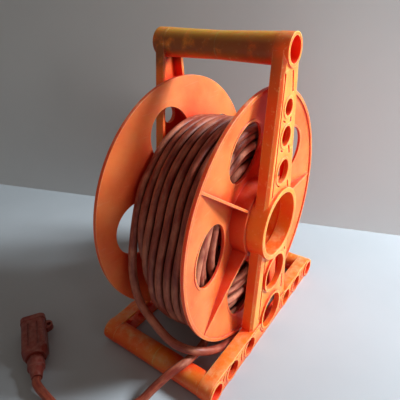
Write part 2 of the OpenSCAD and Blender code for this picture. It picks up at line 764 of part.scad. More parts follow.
// Folded blade contact: two leaves and the fold that joins them
module blade_contact(y, z, h)
    color("gold") at_neck()
        translate([body_x1 - contact_l, y, z]) difference() {
            translate([0, -blade_t / 2 - contact_t, -h / 2])
                cube([contact_l, blade_t + 2 * contact_t, h]);
            translate([contact_t, -blade_t / 2, -h])
                cube([contact_l, blade_t, 2 * h]);
        }

module line_contact() blade_contact(-slot_pitch / 2, slot_z, line_h);
module neutral_contact() blade_contact(slot_pitch / 2, slot_z, neutral_h);

module ground_contact()
    color("gold") at_neck()
        difference() {
            rod(pin_hole_r + contact_t, body_x1 - contact_l, body_x1, 0, pin_z);
            rod(pin_hole_r, body_x1 - contact_l + contact_t, body_x1 + 1, 0, pin_z);
        }

right_side_frame();
left_side_frame();
frame_screws();
right_flange();
left_flange();
drum_screws();
cord_core();
cord_winding();
cord_lead();
cord_strain_relief();
connector_body();
connector_face();
line_contact();
neutral_contact();
ground_contact();
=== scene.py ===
# %% [markdown]
# # Dressing a hand-wound cord reel
#
# The reel is a spool between two moulded side frames, loaded with a long brick-red cord. Its hard
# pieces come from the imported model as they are, and this lesson gives them their plastics and
# metals. The cord is flexible, so it is made anew: each strand is a tube that is worked out with
# numpy and follows a route.
#
# Everything is in metres, in the model's own frame: X along the axle, Z up, and the floor at zero.

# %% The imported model
import math

import bpy
import numpy as np
from mathutils import Matrix, Vector


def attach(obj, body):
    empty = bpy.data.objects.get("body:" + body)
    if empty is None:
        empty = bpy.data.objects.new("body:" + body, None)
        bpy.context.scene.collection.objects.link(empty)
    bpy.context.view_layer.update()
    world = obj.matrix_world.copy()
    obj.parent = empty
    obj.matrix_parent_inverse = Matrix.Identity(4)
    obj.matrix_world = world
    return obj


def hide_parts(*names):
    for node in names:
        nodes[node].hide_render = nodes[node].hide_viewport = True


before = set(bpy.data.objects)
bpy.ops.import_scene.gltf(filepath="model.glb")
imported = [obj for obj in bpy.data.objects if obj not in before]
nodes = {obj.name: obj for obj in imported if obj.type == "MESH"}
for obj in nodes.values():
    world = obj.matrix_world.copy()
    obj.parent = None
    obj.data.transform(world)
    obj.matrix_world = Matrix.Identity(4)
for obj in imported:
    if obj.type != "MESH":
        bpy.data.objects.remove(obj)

bpy.context.view_layer.update()


# %% [markdown]
# ## Camera
#
# The reel is seen from the front right, from a little above its handle. A camera can be placed by
# an aim point, but three angles say more about the view: how far it turns to the left, how far it
# looks down, and how far it tilts. The three unit vectors that follow from them are the columns of
# the camera's matrix.

# %% The camera
camera_place = Vector((0.20643, -0.32404, 0.36375))
turn_left = 0.6275      # the three angles are in radians
look_down = 0.4936
tilt = -0.0175
sensor_mm = 36
focal_mm = 33.785

forward = Vector((-math.sin(turn_left) * math.cos(look_down),
                  math.cos(turn_left) * math.cos(look_down),
                  -math.sin(look_down)))
level = Vector((math.cos(turn_left), math.sin(turn_left), 0))
upward = level.cross(forward)
camera_right = math.cos(tilt) * level + math.sin(tilt) * upward
camera_up = math.cos(tilt) * upward - math.sin(tilt) * level

lens = bpy.data.cameras.new("camera")
lens.sensor_width = sensor_mm
lens.lens = focal_mm
camera = bpy.data.objects.new("camera", lens)
bpy.context.scene.collection.objects.link(camera)
camera.matrix_world = Matrix((
    (camera_right.x, camera_up.x, -forward.x, camera_place.x),
    (camera_right.y, camera_up.y, -forward.y, camera_place.y),
    (camera_right.z, camera_up.z, -forward.z, camera_place.z),
    (0, 0, 0, 1)))
bpy.context.scene.camera = camera
print("camera looks along", [round(v, 3) for v in forward])


# %% [markdown]
# ## A tube along a route
#
# A cord is a circle carried along a line. Curve objects can do that, but a mesh tube takes its own
# UV map, in which U runs along the cord in metres and V runs round it in metres, and that is what
# the jacket's pattern needs. The only delicate thing is twist: each ring's sideways direction is
# the last ring's, made square to the new direction, so that the tube never turns about itself.

# %% Helpers for routes
MM = 0.001


def unit(v):
    """Rows divided by their own lengths."""
    return v / np.linalg.norm(v, axis=-1, keepdims=True)


def directions(points):
    """Direction of a line at each point: the difference of its two neighbours, made one long."""
    return unit(np.gradient(points, axis=0))


def run_length(points):
    """Distance along a line from its start to each point: the running sum of the steps."""
    steps = np.linalg.norm(np.diff(points, axis=0), axis=1)
    return np.concatenate([[0], np.cumsum(steps)])


def evenly(points, step):
    """The same line with points a step apart: each coordinate is read off at equal distances."""
    along = run_length(points)
    places = np.linspace(0, along[-1], int(round(along[-1] / step)) + 1)
    return np.stack([np.interp(places, along, points[:, k]) for k in range(3)], axis=1)


def carried(heading, side):
    """Sideways direction at each ring: the last one less its part along the new heading, made one
    long."""
    out = np.empty_like(heading)
    for i, along in enumerate(heading):
        side = side - np.dot(side, along) * along
        side = side / np.linalg.norm(side)
        out[i] = side
    return out


quarter = np.radians(np.linspace(0, 90, 31))
arc = 10 * MM * np.stack([np.cos(quarter), np.sin(quarter), 0 * quarter], axis=1)
print("a quarter circle of 10 mm radius is", round(run_length(arc)[-1] / MM, 2), "mm long")


# %% Helpers for tubes
FIRST_SIDE = np.array([1.0, 0.02, 0.03])    # where the first ring's side points: nearly along X


def grid_mesh(name, rings, u, v):
    """Mesh of a grid of rings, each a closed loop of points. Point (i, j) joins (i, j+1),
    (i+1, j+1) and (i+1, j), and a fan round a middle point closes each end."""
    count, sides = rings.shape[:2]
    i, j = np.meshgrid(np.arange(count - 1), np.arange(sides), indexing="ij")
    after = (j + 1) % sides
    corners = [i * sides + j, i * sides + after, (i + 1) * sides + after, (i + 1) * sides + j]
    walls = np.stack(corners, axis=-1).reshape(-1, 4)
    wall_u = np.stack([u[i], u[i], u[i + 1], u[i + 1]], axis=-1).reshape(-1)
    wall_v = np.stack([v[j], v[j + 1], v[j + 1], v[j]], axis=-1).reshape(-1)

    side_points = rings.reshape(-1, 3)
    points = np.vstack([side_points, rings[0].mean(0), rings[-1].mean(0)])
    front_middle, back_middle = len(side_points), len(side_points) + 1
    last_ring = (count - 1) * sides
    k = np.arange(sides)
    next_k = (k + 1) % sides
    front = np.stack([np.full(sides, front_middle), next_k, k], axis=1)
    back = np.stack([np.full(sides, back_middle), last_ring + k, last_ring + next_k], axis=1)
    end_uv = np.zeros((6 * sides, 2))       # two fans of triangles, with three corners each
    end_uv[:3 * sides, 0] = u[0]
    end_uv[3 * sides:, 0] = u[-1]
    uv = np.vstack([np.stack([wall_u, wall_v], axis=1), end_uv])

    mesh = bpy.data.meshes.new(name)
    mesh.from_pydata(points, [], walls.tolist() + front.tolist() + back.tolist())
    layer = mesh.uv_layers.new(name="UVMap")
    layer.data.foreach_set("uv", uv.astype(np.float32).ravel())
    mesh.polygons.foreach_set("use_smooth", np.ones(len(mesh.polygons), bool))
    mesh.update()
    made = bpy.data.objects.new(name, mesh)
    bpy.context.scene.collection.objects.link(made)
    return made


def tube(name, path, radius, sides):
    """Tube along a path: path + radius * (side cos a + other sin a), where other is square to the
    heading and to the side."""
    heading = directions(path)
    side = carried(heading, FIRST_SIDE)
    other = np.cross(heading, side)
    angle = np.linspace(0, 2 * math.pi, sides, endpoint=False)
    rings = path[:, None] + radius * (side[:, None] * np.cos(angle)[None, :, None]
                                      + other[:, None] * np.sin(angle)[None, :, None])
    round_it = np.linspace(0, 2 * math.pi * radius, sides + 1)
    return grid_mesh(name, rings, run_length(path), round_it)


# %% [markdown]
# ## The wound cord
#
# Cord on a drum lies in layers. A layer is a helix whose turns lie a little more than one diameter
# apart. Where it meets a flange the cord climbs onto the next layer within half a turn and runs
# back. The outermost layer bulges in the middle and falls off towards the flanges, and the layers
# under it share that bulge less and less down to the round drum. The pile is loose: its turns lie
# snug at the top and hang off it below the axle, the outer ones furthest.
#
# It could be faked as a ribbed cylinder, but the finger holes in the flanges look straight at the
# edge of the pile, where every layer shows. So all seven layers are wound as one unbroken tube,
# 26 metres of it.

# %% Measures of the reel and its cord
AXLE_Z = 151 * MM
CORD_D = 9 * MM
CORD_R = CORD_D / 2
DRUM_R = 46.3 * MM
LAYERS = 7                      # layer 0 is the outermost
PITCH = 9.4 * MM                # from one turn to the next
FLANGE_GAP = 5.1 * MM           # from the flange's inner face to the middle of the last turn
NEAR_FLANGE_X = 33 * MM         # where a layer's radius beside the flange is read

DISH_X = 43.1 * MM              # inner face of the dished flange at the finger holes
DISH_R = 87.4 * MM
DISH_SLOPE = 0.148

CROWN_R = 98.5 * MM             # the outermost layer where the pile is thickest
CROWN_X = 8 * MM
CROWN_FALL = 4 * MM             # how much lower it is at CROWN_REACH from there
CROWN_REACH = 40 * MM

TOP_RIGHT_X = 38.4 * MM         # the outermost layer's first turn, beside the right flange
TOP_LEFT_X = -27.4 * MM         # its last turn, beside the lane of the loose turn
TOP_TURNS = 6.75
SETTLED_TURNS = 0.35            # end of the outermost layer, which lies evenly beside the lane
SINK_WALL_X = -17 * MM          # layer 1 stops here, so that the end of the cord can sink in
LANE_WALL_X = -26.4 * MM        # the next layers stop here, to leave the lane free
LANE_LAYERS = 3                 # number of the last layer that does

SINK_DEPTH = 8.2 * MM           # how far the end of the wound cord sinks into the pile
SINK_SHIFT = 0.9 * MM           # and how far it moves to the right as it does

LANE_HANG = 8.5 * MM            # how far the outermost turns hang beside the lane
HANG_SLOPE = 1.65               # how much more for each metre away from it
MOST_HANG = 37 * MM
DRUM_HANG_SHARE = 0.27          # what is left of the hang in the innermost layer
LANE_DROP = (0.8, -0.2)         # sines of the angles between which the turns beside the lane drop
FAR_DROP = (0.3, -0.8)          # and those that hang furthest

WAVE = 0.6 * MM                 # cord never lies quite even
WAVE_RATE = 2.3                 # waves in one turn
print("drum:", 2 * DRUM_R / MM, "mm, cord:", CORD_D / MM, "mm, layers:", LAYERS)


# %% The shape of the pile
def dish_x(r):
    """Inner face of the dished flange, a cone: further out by its slope times the radius."""
    return DISH_X + DISH_SLOPE * (r - DISH_R)


def crown(x):
    """Radius of the outermost layer: its largest radius, less a parabola towards the flanges."""
    return CROWN_R - CROWN_FALL * ((x - CROWN_X) / CROWN_REACH) ** 2


def outwards(k):
    """How far out layer k lies: 0 for the innermost layer, 1 for layer 0, the outermost."""
    return (LAYERS - 1 - k) / (LAYERS - 1)


def layer_r(k, x):
    """Radius of layer k, counted inwards: the crown's height over the drum, shared out evenly."""
    lowest = DRUM_R + CORD_R
    return lowest + (crown(x) - lowest) * outwards(k)


def soft_step(t):
    """From 0 to 1 with a level start and end: t squared, times 3 less twice t."""
    return t * t * (3 - 2 * t)


def hang_at(k, x):
    """How far a turn hangs: in the outermost layer a straight rise from the lane up to the most,
    and from there inwards an evenly falling share of that."""
    outermost = np.clip(LANE_HANG + HANG_SLOPE * (x - TOP_LEFT_X), 0, MOST_HANG)
    return outermost * (DRUM_HANG_SHARE + (1 - DRUM_HANG_SHARE) * outwards(k))


def droop(x, angle):
    """Share of the hang at an angle: a soft step on the angle's sine. The turns beside the lane
    drop earlier than those that hang furthest, and the square root of the hang's rise leads from
    one to the other."""
    away = np.sqrt(np.clip((hang_at(0, x) - LANE_HANG) / (MOST_HANG - LANE_HANG), 0, 1))
    first = LANE_DROP[0] + (FAR_DROP[0] - LANE_DROP[0]) * away
    last = LANE_DROP[1] + (FAR_DROP[1] - LANE_DROP[1]) * away
    return soft_step(np.clip((first - np.sin(angle)) / (first - last), 0, 1))


def unevenness(angle):
    """A slow, small wave along the turns."""
    return WAVE * np.sin(WAVE_RATE * angle)


for place in (TOP_LEFT_X, CROWN_X):
    print("at x", round(place / MM, 1), "mm the pile is", round(crown(place) / MM, 1),
          "mm in radius and hangs", round(float(hang_at(0, place)) / MM, 1), "mm lower")


# %% [markdown]
# ### Where each layer starts and ends
#
# Each layer runs from flange to flange, and the dish of the flanges makes the outer layers longer
# than the inner ones. The outer ones stop short on the left, because the loose turn lies there in
# a lane of its own. The number of turns is rounded down to quarters, so that they never lie closer
# than the pitch.

# %% Ends and turns of the layers
def layer_ends(k):
    """Right and left end of layer k: as far as the flanges allow, and short of the lane in the
    outer layers."""
    if k == 0:
        return TOP_RIGHT_X, TOP_LEFT_X
    right = dish_x(layer_r(k, NEAR_FLANGE_X)) - FLANGE_GAP
    left = -(dish_x(layer_r(k, -NEAR_FLANGE_X)) - FLANGE_GAP)
    if k == 1:
        left = SINK_WALL_X
    elif k <= LANE_LAYERS:
        left = LANE_WALL_X
    return right, left


def layer_turns(k):
    """Turns of layer k: as many as fit at the pitch, in quarter turns."""
    right, left = layer_ends(k)
    return TOP_TURNS if k == 0 else math.floor(4 * (right - left) / PITCH) / 4


climbs = LAYERS - 1     # each takes half a turn
wound_turns = sum(layer_turns(k) for k in range(LAYERS)) + climbs / 2
print("layers:", LAYERS, "turns:", wound_turns)


# %% [markdown]
# ### The route of the wound cord
#
# The route is worked out as three lists that belong together: the angle round the axle, the place
# along the axle, and the layer, which passes through fractions where the cord climbs. The radius
# follows from them last. So the pile's shape can be changed without touching the winding.

# %% The wound cord
RINGS_PER_TURN = 60


def wound_route():
    """Route from the drum outwards as angle, x, layer and sinking. Even layers run from right to
    left, odd ones back, and a climb of half a turn joins them, on which the layer changes with the
    sine of the way along it. The outermost layer ends with a part of a turn that lies evenly beside
    the lane, and a third of a turn that sinks there."""
    angle, x, layer = [], [], []
    at = -2 * math.pi * (wound_turns - layer_turns(0))
    for k in reversed(range(LAYERS)):
        turns = layer_turns(k)
        right, left = layer_ends(k)
        start, end = (right, left) if k % 2 == 0 else (left, right)
        share = np.linspace(0, 1, int(turns * RINGS_PER_TURN) + 1)
        moving_turns = turns - SETTLED_TURNS if k == 0 else turns
        angle.append(at + share * turns * 2 * math.pi)
        x.append(start + (end - start) * np.minimum(1, share * turns / moving_turns))
        layer.append(np.full(len(share), float(k)))
        at = angle[-1][-1]
        if k:
            rise = np.sin(np.linspace(0, math.pi / 2, RINGS_PER_TURN // 2 + 1))[1:-1]
            right_up, left_up = layer_ends(k - 1)
            next_x = left_up if k % 2 == 0 else right_up
            angle.append(at + np.linspace(0, math.pi, RINGS_PER_TURN // 2 + 1)[1:-1])
            x.append(end + (next_x - end) * rise)
            layer.append(k - rise)
            at += math.pi
    sink = np.linspace(0, 1, RINGS_PER_TURN // 3 + 1)[1:]
    angle.append(at + sink * 2 * math.pi / 3)
    x.append(x[-1][-1] + SINK_SHIFT * soft_step(sink))
    layer.append(np.zeros(len(sink)))
    sunk = np.zeros(sum(len(part) for part in angle))
    sunk[-len(sink):] = SINK_DEPTH * soft_step(sink)
    return np.concatenate(angle), np.concatenate(x), np.concatenate(layer), sunk


def on_pile(angle, x, r):
    """Point of the pile: the angle counts from the rear upwards round the axle."""
    return np.stack([x, r * np.cos(angle), AXLE_Z + r * np.sin(angle)], axis=1)


angle, x, layer, sunk = wound_route()
radius = layer_r(layer, x) + hang_at(layer, x) * droop(x, angle) + unevenness(angle) - sunk
wound_path = on_pile(angle, x, radius)
wound_cord = tube("wound_cord", wound_path, CORD_R, sides=10)
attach(wound_cord, "spool")
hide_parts("cord_core", "cord_winding")
wound_length = run_length(wound_path)[-1]
print("wound cord:", round(wound_length, 2), "m,", len(wound_cord.data.polygons), "faces")


# %% [markdown]
# ## The loose end
#
# The last turn lies in a lane of its own beside the left flange. It leaves the pile at the front,
# hangs in front of it as a slack turn, dips under the right flange, lies in a wide loop on the
# floor, comes forward over the front cross tube and ends in its connector.
#
# A rope simulation could drop it, but the outcome would be hard to steer. A route of given points is
# better: a few points where the cord rests or bends, with a smooth curve through them. The curve is
# a Catmull-Rom spline. Between two points it is a cubic whose slope at each end is half the step
# between that point's two neighbours.

# %% Where the loose end lies
LANE_X = -37.6 * MM             # the last turn, in its lane
LANE_R = 94 * MM
SUNK_X = -36 * MM               # where it comes out of the pile
SUNK_R = 82.5 * MM

down_the_front = [(-37, -88, 194), (-36.9, -104, 152), (-35.5, -113, 112)]
slack_turn = [(-24, -118.5, 80), (-2, -121, 62.5), (17.5, -122, 52), (34, -117, 45)]
under_the_flange = [(46.5, -105, 38), (52, -89, 28.5), (53, -71, 18), (52, -49, 9), (50.5, -27, 5)]
loop_on_floor = [(48, -7, 4.7), (43, 12, 4.7), (29, 26, 4.7), (10, 31, 4.7), (-9, 26, 4.7),
                 (-23, 12, 4.7), (-28.5, -6, 4.7), (-25, -25, 4.7)]
over_front_tube = [(-13, -41, 5.2), (4, -53.5, 8.5), (21.5, -66, 16), (34, -82, 24),
                   (38.5, -102, 29.5), (37, -121, 31), (30, -138, 26.5)]
to_connector = [(22, -154, 16.5), (16, -168.5, 8), (8, -184, 4.8), (-5, -200, 4.7),
                (-21, -213.5, 4.7), (-39, -221, 5), (-58, -221.5, 7.5)]
loose_route = MM * np.array(down_the_front + slack_turn + under_the_flange + loop_on_floor
                            + over_front_tube + to_connector)

plug_turn = math.radians(148.9)
plug_along = np.array([math.cos(plug_turn), math.sin(plug_turn), 0])
neck_at = MM * np.array([-100, -209, 12.0])
relief_length = 12 * MM
straight_run = 9 * MM           # the cord comes out of its strain relief straight
relief_end = neck_at - relief_length * plug_along
print("laid points:", len(loose_route))


# %% [markdown]
# The connector and its strain relief stay as they are in the imported model. They belong to the loose
# end all the same.

# %% The loose end
def lane_points():
    """The last turn: out of the pile over 60 degrees, then in its lane from -60 to 140 degrees."""
    share = np.arange(0, 1, 0.25)
    rising = on_pile(np.radians(-120 + 60 * share), SUNK_X + (LANE_X - SUNK_X) * share,
                     SUNK_R + (LANE_R - SUNK_R) * soft_step(share))
    turn = np.radians(np.linspace(-60, 140, 11))
    lying = on_pile(turn, np.full(len(turn), LANE_X), np.full(len(turn), LANE_R))
    return np.vstack([rising, lying])


def through(points, parts):
    """Catmull-Rom curve, all stretches at once: between b and c it is
    0.5 (2b + (c-a)t + (2a-5b+4c-d)t2 + (3b-a-3c+d)t3)."""
    a = np.vstack([points[:1], points[:-2]])[:, None]
    b = points[:-1][:, None]
    c = points[1:][:, None]
    d = np.vstack([points[2:], points[-1:]])[:, None]
    t = (np.arange(parts) / parts)[None, :, None]
    square = (2 * a - 5 * b + 4 * c - d) * t ** 2
    cube = (3 * b - a - 3 * c + d) * t ** 3
    curve = 0.5 * (2 * b + (c - a) * t + square + cube)
    return np.vstack([curve.reshape(-1, 3), points[-1:]])


last_straight = [relief_end - straight_run * plug_along, relief_end]
loose_points = np.vstack([lane_points(), loose_route, last_straight])
loose_path = evenly(through(loose_points, parts=24), step=2.5 * MM)
loose_end = tube("loose_end", loose_path, CORD_R, sides=16)
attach(loose_end, "stand")
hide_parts("cord_lead")


# %% [markdown]
# ## Helpers for materials
#
# Every material is a small graph of nodes. One function adds a node, fills its sockets and gives
# back one of its outputs, so that nodes can be written inside one another. A pattern's scale is
# given as the size of its lumps in millimetres on the real object, so that the numbers mean
# something. Colours are written as they look on a screen and turned into linear light.

# %% Small tools for shader graphs
SOFT = {"interpolation_type": "SMOOTHSTEP"}     # a MapRange with a level start and end
PRODUCT = {"operation": "MULTIPLY"}             # a Math node that multiplies
TINT = {"data_type": "RGBA", "out": 2}          # a Mix of the colours on sockets 6 and 7


def colour(code):
    """Linear colour from an sRGB hex code: each channel is undone by the sRGB curve."""
    srgb = [int(code[i:i + 2], 16) / 255 for i in (1, 3, 5)]
    return [c / 12.92 if c <= 0.04045 else ((c + 0.055) / 1.055) ** 2.4 for c in srgb] + [1]


def per_metre(size_mm):
    """Scale of a noise whose lumps are about so many millimetres wide."""
    return 1000 / size_mm


def fill(tree, node, sockets):
    """Fills a node's sockets, each with a constant or with another node's output."""
    for name, value in sockets.items():
        if isinstance(value, bpy.types.NodeSocket):
            tree.links.new(value, node.inputs[name])
        else:
            node.inputs[name].default_value = value


def put(tree, kind, sockets=None, out=0, **settings):
    """Adds a node with its settings, fills its sockets and gives back one of its outputs."""
    made = tree.nodes.new("ShaderNode" + kind)
    for name, value in settings.items():
        setattr(made, name, value)
    fill(tree, made, sockets or {})
    return made.outputs[out]


def new_material(name):
    """A material with its node tree and its shader."""
    material = bpy.data.materials.new(name)
    material.use_nodes = True
    tree = material.node_tree
    return material, tree, tree.nodes["Principled BSDF"]


print("half grey on the screen is", round(colour("#808080")[0], 3), "in linear light")


# %% [markdown]
# ### Masks and coats
#
# Wear is never even, so each finish is built like a painting: a ground colour, and thin coats over
# it, each with a mask that says where it lies. Four kinds of mask are enough here: patches of
# noise, a span along an axis, sharp edges, and recesses. A span is two numbers, and its mask is 0
# up to the first, 1 from the second on, and soft between them; the second may be the lower one.

# %% Four masks and a coat
def patchy(tree, place, size_mm, span, detail=3, roughness=0.55):
    """Mask in patches: noise with lumps so many millimetres wide."""
    noise = put(tree, "TexNoise", {"Vector": place, "Scale": per_metre(size_mm), "Detail": detail,
                                   "Roughness": roughness})
    return put(tree, "MapRange", {"Value": noise, "From Min": span[0], "From Max": span[1]}, **SOFT)


def along_axis(tree, vector, axis, span, both_ways=False):
    """Mask along an axis of a place or of a normal, which reads X, Y or Z, or with both ways the
    distance from the middle."""
    value = put(tree, "SeparateXYZ", {0: vector}, out=axis)
    if both_ways:
        value = put(tree, "Math", {0: value}, operation="ABSOLUTE")
    return put(tree, "MapRange", {"Value": value, "From Min": span[0], "From Max": span[1]}, **SOFT)


def on_edges(tree, radius, span):
    """Mask on sharp edges: where the normal of a rounded edge leaves the face's own normal. The
    span is of their agreement, which is 1 on flat faces, and is read downwards."""
    rounded = put(tree, "Bevel", {"Radius": radius}, samples=4)
    face = put(tree, "NewGeometry", out="Normal")
    agreement = put(tree, "VectorMath", {0: rounded, 1: face}, out="Value", operation="DOT_PRODUCT")
    sockets = {"Value": agreement, "From Min": span[0], "From Max": span[1]}
    return put(tree, "MapRange", sockets, **SOFT)


def in_recesses(tree, reach, span):
    """Mask in recesses: a span of the share of the sky that nothing nearer than the reach hides,
    read downwards."""
    openness = put(tree, "AmbientOcclusion", {"Distance": reach}, out="AO", samples=6)
    sockets = {"Value": openness, "From Min": span[0], "From Max": span[1]}
    return put(tree, "MapRange", sockets, **SOFT)


def coated(tree, base, masks, share, over):
    """A colour over the base where all masks are 1, up to a share: their product drives a mix."""
    cover = share
    for mask in masks:
        cover = put(tree, "Math", {0: mask, 1: cover}, **PRODUCT)
    return put(tree, "Mix", {0: cover, 6: base, 7: over}, **TINT)


# %% [markdown]
# ## Orange polypropylene
#
# The frames and the spool are injection-moulded polypropylene. It is satin rather than glossy, lets
# a little light in, and changes where sun and hands have worked on it. The broad sides are bleached
# by the sun and painted paler still, as lit faces. Undersides and recesses get painted shade in a
# deeper red. Edges are paler, from wear and a painted highlight, and dust settles on faces that look
# up. Each of these is one mask that lays one colour on, so each can be tuned alone.

# %% The plastic's colours
def weathered(tree, place, normal, fresh, faded, bleached, edge, dust, deep, scratched):
    """Colour of worn plastic: fresh and faded patches, broad sides sun-paled and painted paler as lit
    faces, edges paler from wear and a painted highlight, dust on top, painted shade in a deeper red
    on undersides and in recesses, and fine scratches, which run along Y."""
    fading = patchy(tree, place, 70, (0.4, 0.65), detail=4)
    base = put(tree, "Mix", {0: fading, 6: colour(fresh), 7: colour(faded)}, **TINT)

    # Painted light: faces looking along X are paled by the sun and painted paler still, as lit faces.
    lit_broad_sides = along_axis(tree, normal, "X", (0.7, 0.98), both_ways=True)
    sunned = patchy(tree, place, 45, (0.2, 0.7), detail=4)
    base = coated(tree, base, [lit_broad_sides, sunned], 0.75, colour(bleached))

    # Pale edges: wear, and a painted highlight along the rims.
    edges = on_edges(tree, 1.5 * MM, (0.99, 0.86))
    worn_and_highlit = patchy(tree, place, 9, (0.25, 0.5))
    base = coated(tree, base, [edges, worn_and_highlit], 0.8, colour(edge))

    facing_up = along_axis(tree, normal, "Z", (0.35, 0.95))
    specks = patchy(tree, place, 14, (0.4, 0.75), detail=6, roughness=0.65)
    base = coated(tree, base, [facing_up, specks], 0.75, colour(dust))

    # Painted shade: faces that look down take a deeper red.
    shaded_underside = along_axis(tree, normal, "Z", (-0.3, -0.95))
    base = coated(tree, base, [shaded_underside], 0.7, colour(deep))

    drawn_out = put(tree, "Mapping", {"Vector": place, "Scale": (1, 0.09, 1)})
    strokes = patchy(tree, drawn_out, 3.2, (0.62, 0.72), detail=2)
    base = coated(tree, base, [strokes], 0.35 * scratched, colour(edge))

    # Painted shade: recesses take the same deeper red.
    recesses = in_recesses(tree, 45 * MM, (0.95, 0.3))
    return coated(tree, base, [recesses], 0.9, colour(deep))


# %% [markdown]
# ### Grime and a painted highlight on the handle
#
# Hands leave brown grime on the grip. On its top, where it looks up, a yellow highlight is painted
# into the colour. The stain could be painted on by hand, but little else of the stand reaches that
# high, so a mask on the height finds the handle.

# %% The grime
def gripped(tree, base, place, normal, grime, painted_highlight):
    """Hand grime on the grip: it covers the handle's height but not its underside, thins out near its
    right end and is broken by noise. Where the grip looks up, a yellow painted highlight lies over
    it."""
    at_handle = along_axis(tree, place, "Z", (0.296, 0.309))
    short_of_end = along_axis(tree, place, "X", (0.072, 0.05))
    not_below = along_axis(tree, normal, "Z", (-0.95, -0.3))
    broken = patchy(tree, place, 16, (0.28, 0.52), detail=6, roughness=0.6)
    lit_top = along_axis(tree, normal, "Z", (0.3, 0.85))
    stain = put(tree, "Mix", {0: lit_top, 6: colour(grime), 7: colour(painted_highlight)}, **TINT)
    return coated(tree, base, [at_handle, short_of_end, not_below, broken], 0.78, stain)


# %% [markdown]
# ### The plastic's surface
#
# A mould leaves a fine texture, and thick walls sink a little as they cool. Two noises as bumps
# show both. Rounded edges catch the light in a thin line, which a Bevel node gives without more
# faces. Light that enters the plastic comes out red nearby, and that softens its shadows.

# %% The moulded plastic
def mould_texture(tree, place):
    """Normal of a moulded wall. Its edges catch the light, the broad bumps bend the reflections as
    sunken walls do, and the fine ones break the highlight up into satin. A real mould's texture is
    a few tenths of a millimetre wide, too fine to show, so it is drawn about a millimetre wide."""
    rounded = put(tree, "Bevel", {"Radius": 0.8 * MM}, samples=4)
    broad = put(tree, "TexNoise", {"Vector": place, "Scale": per_metre(28), "Detail": 2,
                                   "Roughness": 0.55})
    sunken = put(tree, "Bump", {"Height": broad, "Strength": 0.16, "Distance": 1.2 * MM,
                                "Normal": rounded})
    fine = put(tree, "TexNoise", {"Vector": place, "Scale": per_metre(0.9), "Detail": 2,
                                  "Roughness": 0.55})
    return put(tree, "Bump", {"Height": fine, "Strength": 0.22, "Distance": 0.12 * MM,
                              "Normal": sunken})


def moulded_plastic(name, grip=None, **colours):
    """Satin plastic with a little light under its skin and clouds of wear in its gloss. The grip's
    two colours, if it has them, are the grime and a painted highlight on the handle's top."""
    material, tree, shader = new_material(name)
    place = put(tree, "TexCoord", out="Object")
    normal = put(tree, "TexCoord", out="Normal")
    base = weathered(tree, place, normal, **colours)
    if grip:
        base = gripped(tree, base, place, normal, *grip)
    clouds = put(tree, "TexNoise", {"Vector": place, "Scale": per_metre(22), "Detail": 5,
                                    "Roughness": 0.55})
    gloss = put(tree, "MapRange", {"Value": clouds, "To Min": 0.34, "To Max": 0.56})
    fill(tree, shader, {
        "Base Color": base, "Roughness": gloss, "Normal": mould_texture(tree, place),
        "Subsurface Weight": 0.7, "Subsurface Radius": (1.0, 0.12, 0.03),
        "Subsurface Scale": 6 * MM, "Specular IOR Level": 0.45})
    return material


# The grip's colours are brown grime and a yellow painted highlight on the handle's top.
frame_plastic = moulded_plastic(
    "frame_polypropylene", grip=("#84421C", "#D09A34"), fresh="#EE6412", faded="#F08C24",
    bleached="#FFB45A", edge="#FFD88A", dust="#EEBC84", deep="#EE1C08", scratched=0.9)
spool_plastic = moulded_plastic(
    "spool_polypropylene", fresh="#F05A1C", faded="#F26C2C",
    bleached="#FF9250", edge="#FFB084", dust="#F2AE8E", deep="#C41808", scratched=0.6)
print("plastics:", frame_plastic.name, spool_plastic.name)


# %% [markdown]
# ## The cord's jacket
#
# The jacket is soft vinyl, brick red and dusty. Its pattern follows the cord, so it reads the UV
# map: long streaks run along it, where the cord was dragged, and dust sits in patches. On the sides
# of the pile, which the finger holes leave open, more of the pale dust colour is laid on as painted
# sunlight, and on the stretch near the connector less of it, as painted shadow. A faint swell along
# the cord shows the three twisted wires inside. Image textures would do this too, but noise
# stretched along U needs no file and never repeats.

# %% The dust on the cord
def dust_and_painted_light(tree, along):
    """Share of the pale dust colour: dust in patches along the cord, with more laid on at the pile's
    sides as painted sunlight and less out on the floor as painted shadow."""
    place = put(tree, "TexCoord", out="Object")
    thick, lit_thickest, shade_thinned = 0.52, 0.92, 0.35
    drawn_out = put(tree, "Mapping", {"Vector": along, "Scale": (0.5, 1, 1)})
    patches = patchy(tree, drawn_out, 16, (0.36, 0.72), detail=5, roughness=0.65)
    outer_turns = along_axis(tree, place, "X", (30 * MM, 38 * MM), both_ways=True)
    on_spool = along_axis(tree, place, "X", (50 * MM, 46 * MM), both_ways=True)
    # Painted light: more of the pale colour on the sides of the pile, where the strands are sunlit.
    lit_pile_sides = put(tree, "Math", {0: outer_turns, 1: on_spool}, **PRODUCT)
    # Painted shade: less of it out on the floor, near the connector.
    shaded_on_floor = along_axis(tree, place, "X", (50 * MM, 90 * MM), both_ways=True)
    more = put(tree, "MapRange", {"Value": lit_pile_sides, "To Min": thick, "To Max": lit_thickest})
    less = put(tree, "MapRange", {"Value": shaded_on_floor, "To Min": 1, "To Max": shade_thinned})
    strength = put(tree, "Math", {0: more, 1: less}, **PRODUCT)
    return put(tree, "Math", {0: patches, 1: strength}, **PRODUCT)


